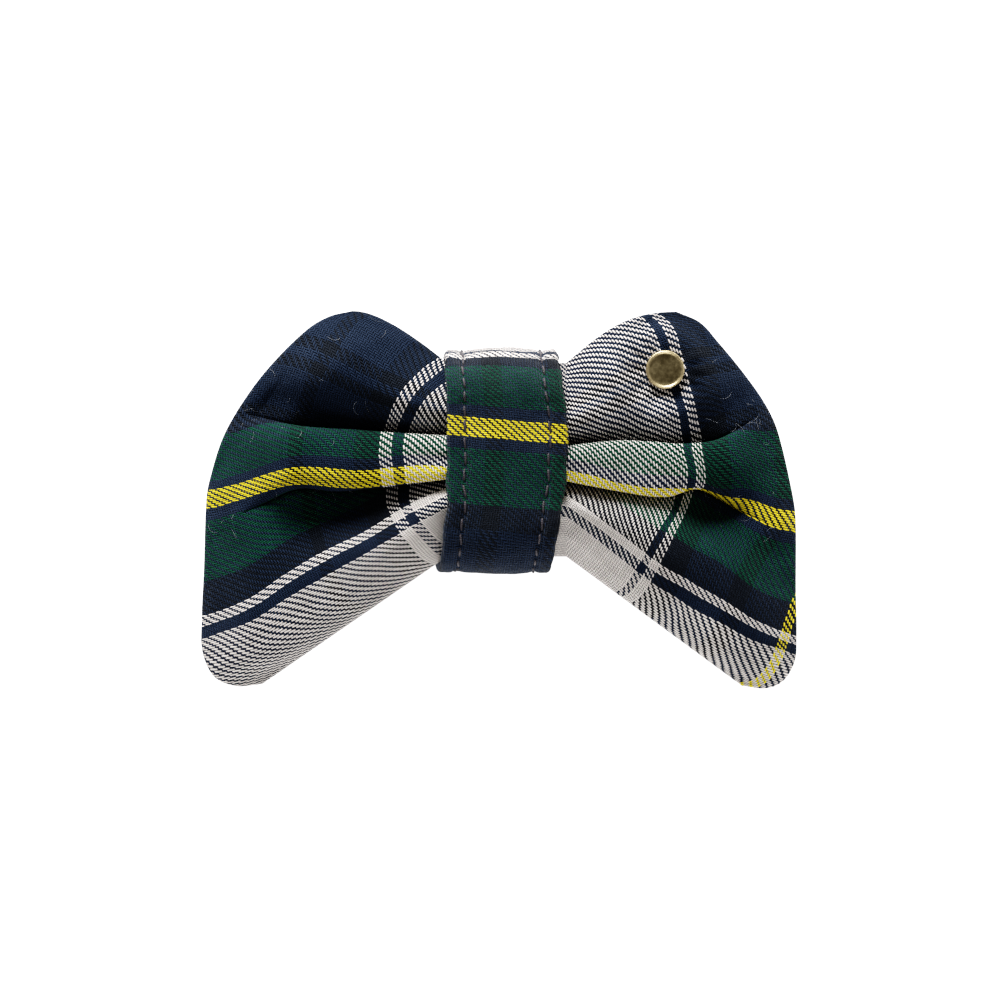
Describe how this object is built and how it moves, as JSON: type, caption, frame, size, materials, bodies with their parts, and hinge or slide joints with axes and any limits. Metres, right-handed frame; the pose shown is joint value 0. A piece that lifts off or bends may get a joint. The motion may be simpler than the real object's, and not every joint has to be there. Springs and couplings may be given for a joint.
{
  "type": "pet bow tie",
  "caption": "Padded tartan cloth bow, pleated into a loop of cloth band that slides on a pet's collar, with a small brass cap rivet in one wing.",
  "frame": {"origin": "on the surface that the bow lies on, under the middle of the whole part's box", "axes": "+X to the bow's right as seen from its front, +Y to its top, +Z out of its front"},
  "size_m": [0.1096, 0.0691, 0.0229],
  "materials": {
    "bow_cloth": "brushed cotton twill in a navy, green, white and yellow tartan",
    "band_cloth": "the same cotton twill, folded double and top-stitched",
    "aged_brass": "aged brass, satin with a brighter rim"
  },
  "bodies": {
    "root": {"bow": "bow_cloth", "centre_band": "band_cloth", "rivet_cap": "aged_brass", "rivet_back": "aged_brass"}
  },
  "joints": []
}
